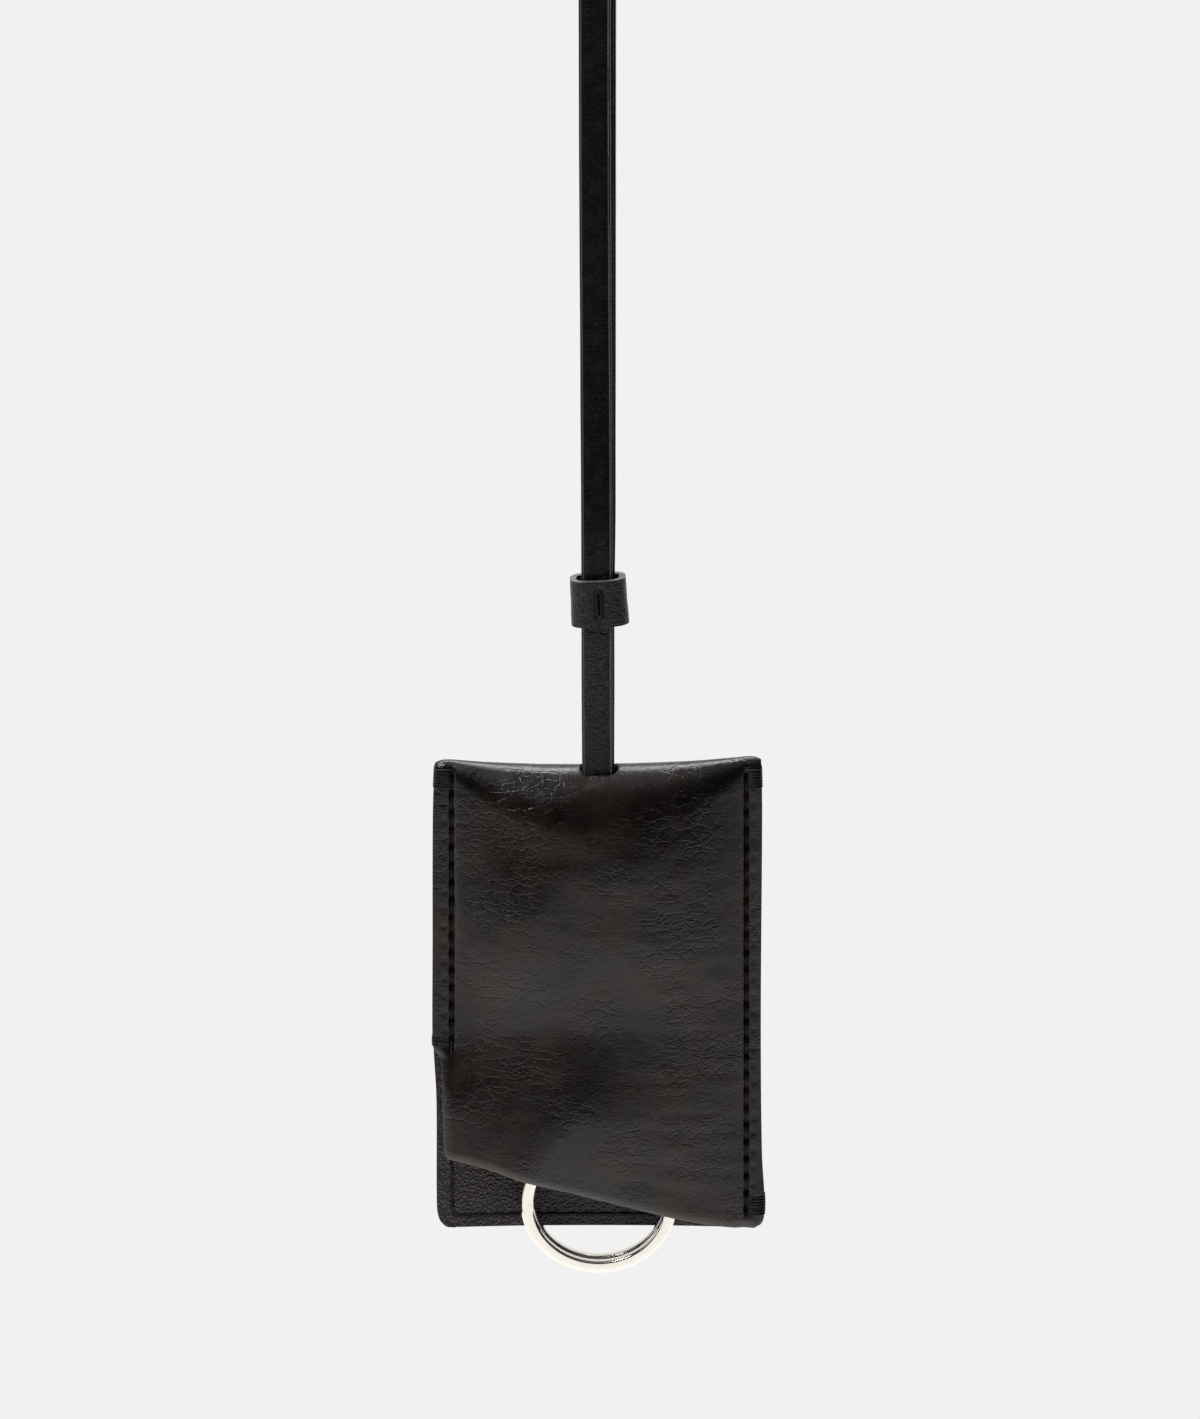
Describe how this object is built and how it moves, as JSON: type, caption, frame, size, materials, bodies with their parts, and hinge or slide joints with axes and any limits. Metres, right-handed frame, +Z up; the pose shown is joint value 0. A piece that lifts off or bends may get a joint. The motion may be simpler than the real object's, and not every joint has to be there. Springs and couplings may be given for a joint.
{
  "type": "neck strap key pouch",
  "caption": "Leather key pouch folded over at the top, sliding on a flat neck strap with a keeper band, with a split key ring inside its open bottom.",
  "frame": {"origin": "inside of the top of the neck strap's loop, where it hangs on a neck or a hook", "axes": "+Z up along the hanging strap, -Y towards the pouch's front, +X to the right seen from the front"},
  "size_m": [0.0744, 0.0306, 0.3405],
  "materials": {
    "outer_leather": "smooth black calf, satin gloss, softly creased",
    "pebbled_leather": "pebble-grained, matte, brown-black",
    "strap_leather": "flat strap leather, fine cross creases, painted edges",
    "thread": "waxed black polyester thread",
    "nickel": "polished nickel plate"
  },
  "bodies": {
    "strap": {"neck_strap": "strap_leather", "ring_tab": "strap_leather", "tab_stitch": "thread"},
    "pouch": {"outer_leather": "outer_leather", "front_lining": "pebbled_leather", "back_lining": "pebbled_leather", "left_seam_thread": "thread", "right_seam_thread": "thread", "hem_thread": "thread", "back_thread": "thread", "bar_tack_top_left": "thread", "bar_tack_top_right": "thread", "bar_tack_seam_end": "thread", "bar_tack_bottom_right": "thread"},
    "corner": {"front_corner": "outer_leather", "front_corner_lining": "pebbled_leather"},
    "keeper": {"keeper_band": "strap_leather", "keeper_stitch": "thread"},
    "ring": {"split_ring": "nickel"}
  },
  "joints": [
    {"name": "pouch_slide", "type": "slide", "parent": "strap", "child": "pouch", "axis": [0, 0, 1], "range_m": [-0.05, 0.065]},
    {"name": "keeper_slide", "type": "slide", "parent": "pouch", "child": "keeper", "axis": [0, 0, 1], "range_m": [-0.031, 0.05]},
    {"name": "corner_lift", "type": "hinge", "parent": "pouch", "child": "corner", "pos_m": [-0.00335, -0.00708, -0.306], "axis": [-0.8601, 0, 0.5101], "range_deg": [0, 60], "stiffness_Nm_per_rad": 0.004},
    {"name": "ring_turn", "type": "hinge", "parent": "strap", "child": "ring", "pos_m": [0, 0.00169, -0.3214], "axis": [0, 0.9945, 0.1045], "continuous": true}
  ]
}
